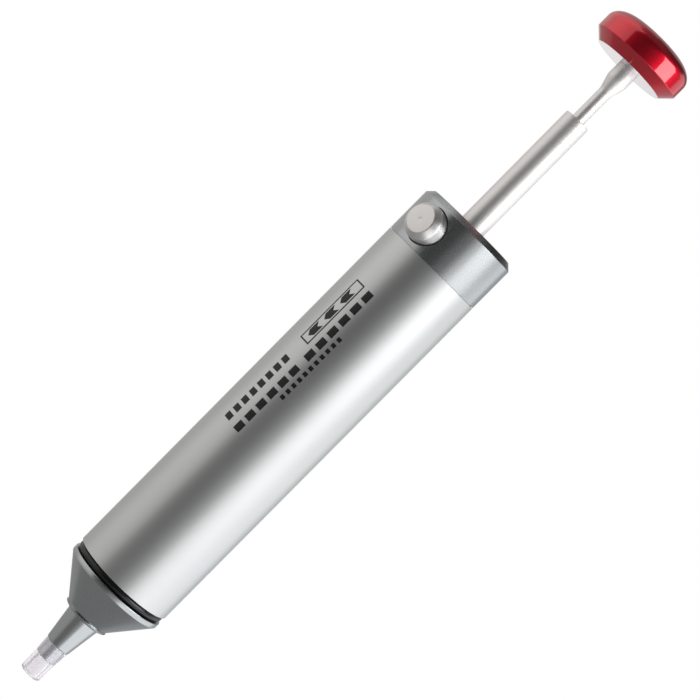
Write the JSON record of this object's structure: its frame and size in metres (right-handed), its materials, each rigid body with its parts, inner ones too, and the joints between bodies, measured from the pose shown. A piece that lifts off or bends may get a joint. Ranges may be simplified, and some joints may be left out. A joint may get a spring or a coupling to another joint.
{
  "type": "desoldering pump",
  "caption": "Slim hand desoldering pump: aluminium barrel, conical nose with a soft tube tip, side release button, and a sprung plunger with a red domed knob.",
  "frame": {"origin": "centre of the mouth of the silicone tip", "axes": "+Z along the pump's axis from the mouth to the knob, -Y the way the release button points"},
  "size_m": [0.02, 0.0227, 0.155],
  "materials": {
    "silicone": "translucent soft silicone",
    "bare_steel": "drawn",
    "grey_anodised": "satin grey anodised",
    "black_rubber": "smooth",
    "spring_steel": "drawn wire",
    "silver_anodised": "satin silver anodised",
    "white_acetal": "turned",
    "turned_aluminium": "turned",
    "polished_rod": "polished",
    "red_anodised": "gloss red anodised",
    "black_acetal": "turned"
  },
  "bodies": {
    "housing": {"barrel": "silver_anodised", "rear_cap": "grey_anodised", "rod_bush": "white_acetal", "bumper_washer": "black_rubber", "main_spring": "spring_steel", "button_spring": "spring_steel"},
    "nose_seal": {"nose_o_ring": "black_rubber"},
    "nose": {"nose_cone": "grey_anodised", "nozzle_pipe": "bare_steel", "spring_washer": "bare_steel"},
    "tip": {"silicone_tip": "silicone"},
    "plunger": {"plunger_rod": "polished_rod", "knob": "red_anodised", "piston": "black_acetal", "piston_o_ring": "black_rubber", "piston_nut": "bare_steel", "cleaning_pin": "bare_steel"},
    "button": {"button": "turned_aluminium"}
  },
  "joints": [
    {"name": "plunger_slide", "type": "slide", "parent": "housing", "child": "plunger", "axis": [0, 0, -1], "range_m": [0, 0.035], "stiffness_N_per_m": 336, "springref_m": -0.008, "deforming": ["main_spring"]},
    {"name": "button_press", "type": "slide", "parent": "housing", "child": "button", "axis": [0, 1, 0], "range_m": [0, 0.0012], "stiffness_N_per_m": 800, "springref_m": -0.001, "deforming": ["button_spring"]},
    {"name": "nose_advance", "type": "slide", "parent": "housing", "child": "nose_seal", "axis": [0, 0, -1], "range_m": [0, 0.0045]},
    {"name": "nose_turn", "type": "hinge", "parent": "nose_seal", "child": "nose", "pos_m": [0, 0, 0.03], "axis": [0, 0, -1], "range_deg": [0, 1621]},
    {"name": "tip_pull", "type": "slide", "parent": "nose", "child": "tip", "axis": [0, 0, -1], "range_m": [0, 0.0035]}
  ],
  "couplings": [
    {"joint": "nose_turn", "follows": "nose_advance", "rad_per_m": 6283.2}
  ]
}
